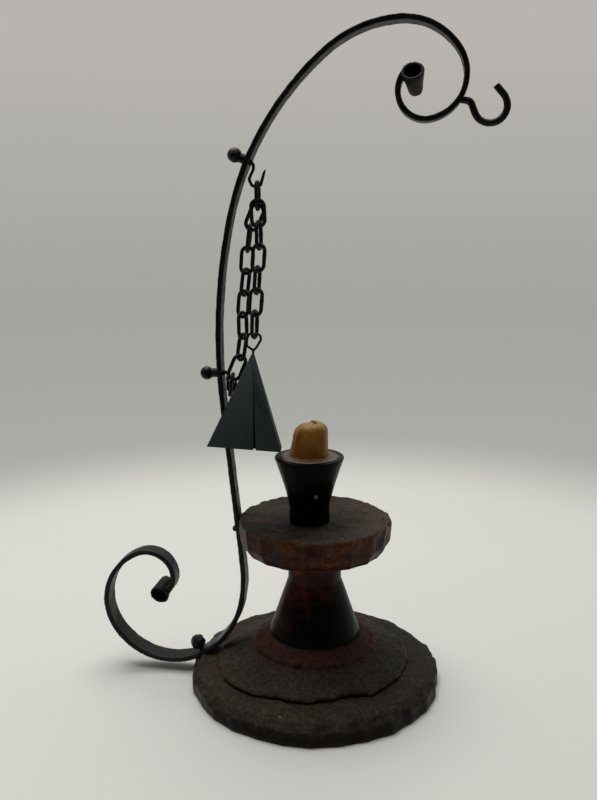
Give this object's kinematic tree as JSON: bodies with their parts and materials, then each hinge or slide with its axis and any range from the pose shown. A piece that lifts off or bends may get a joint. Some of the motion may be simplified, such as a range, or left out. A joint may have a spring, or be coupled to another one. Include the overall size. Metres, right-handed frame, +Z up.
{
  "type": "candle holder",
  "caption": "Rustic candle holder: hewn wooden base, drip plate and cup, wrought iron scroll arm, chain and hanging pyramid snuffer.",
  "frame": {"origin": "centre of the base's underside", "axes": "+Z up; the iron arm lies in the XZ plane, its stem and lower scroll at -X and its end hook at +X; -Y is the front, where the snuffer hangs"},
  "size_m": [0.2352, 0.1504, 0.3795],
  "materials": {
    "hewn_wood": "dark brown stain, hewn and dusty",
    "turned_wood": "dark red-brown stain, worn lacquer",
    "black_wood": "gloss black lacquer",
    "wax": "old amber wax, waxy",
    "wick": "burnt cotton",
    "black_iron": "forged, blackened",
    "sheet_iron": "blackened sheet, grey-green bloom",
    "screw_steel": "plain steel"
  },
  "bodies": {
    "stand": {"base_lower_tier": "hewn_wood", "base_upper_tier": "hewn_wood", "neck_column": "turned_wood", "drip_plate": "hewn_wood", "candle_cup": "black_wood", "candle_stub": "wax", "candle_wick": "wick", "wax_spill": "wax", "scroll_arm": "black_iron", "end_hook": "black_iron", "upper_hook_nail": "black_iron", "lower_hook_nail": "black_iron", "plate_nail": "black_iron", "base_nail": "black_iron", "tie_screws": "screw_steel"},
    "draped_chain": {"chain_top_link": "black_iron", "draped_link_1": "black_iron", "draped_link_2": "black_iron", "draped_link_3": "black_iron", "draped_link_4": "black_iron", "draped_link_5": "black_iron", "draped_link_6": "black_iron", "draped_link_7": "black_iron", "draped_link_8": "black_iron", "draped_link_9": "black_iron"},
    "hanging_link_1": {"hanging_link_1": "black_iron"},
    "hanging_link_2": {"hanging_link_2": "black_iron"},
    "hanging_link_3": {"hanging_link_3": "black_iron"},
    "hanging_link_4": {"hanging_link_4": "black_iron"},
    "hanging_link_5": {"hanging_link_5": "black_iron"},
    "hanging_link_6": {"hanging_link_6": "black_iron"},
    "snuffer": {"snuffer_hood": "sheet_iron", "snuffer_bail": "black_iron"}
  },
  "joints": [
    {"name": "draped_chain_sway", "type": "hinge", "parent": "stand", "child": "draped_chain", "pos_m": [-0.03174, 0, 0.2942], "axis": [0.1487, 0, 0.9889], "range_deg": [-10, 0]},
    {"name": "hanging_link_1_swing", "type": "hinge", "parent": "draped_chain", "child": "hanging_link_1", "pos_m": [-0.03174, -0.00115, 0.2866], "axis": [0, 1, 0], "range_deg": [-1.2, 0.6]},
    {"name": "hanging_link_2_swing", "type": "hinge", "parent": "hanging_link_1", "child": "hanging_link_2", "pos_m": [-0.03056, -0.00422, 0.27223], "axis": [1, 0, 0], "range_deg": [-22, 0]},
    {"name": "hanging_link_3_swing", "type": "hinge", "parent": "hanging_link_2", "child": "hanging_link_3", "pos_m": [-0.0302, -0.00576, 0.26003], "axis": [0, 1, 0], "range_deg": [-1.2, 0.6]},
    {"name": "hanging_link_4_swing", "type": "hinge", "parent": "hanging_link_3", "child": "hanging_link_4", "pos_m": [-0.03088, -0.0073, 0.24784], "axis": [1, 0, 0], "range_deg": [-22, 0]},
    {"name": "hanging_link_5_swing", "type": "hinge", "parent": "hanging_link_4", "child": "hanging_link_5", "pos_m": [-0.03141, -0.00884, 0.23565], "axis": [0, 1, 0], "range_deg": [-1.5, 0.8]},
    {"name": "hanging_link_6_swing", "type": "hinge", "parent": "hanging_link_5", "child": "hanging_link_6", "pos_m": [-0.03224, -0.01038, 0.22348], "axis": [1, 0, 0], "range_deg": [-22, 0]},
    {"name": "snuffer_swing", "type": "hinge", "parent": "hanging_link_6", "child": "snuffer", "pos_m": [-0.03241, -0.01192, 0.21128], "axis": [0, 1, 0], "range_deg": [-3, 1.5]}
  ]
}
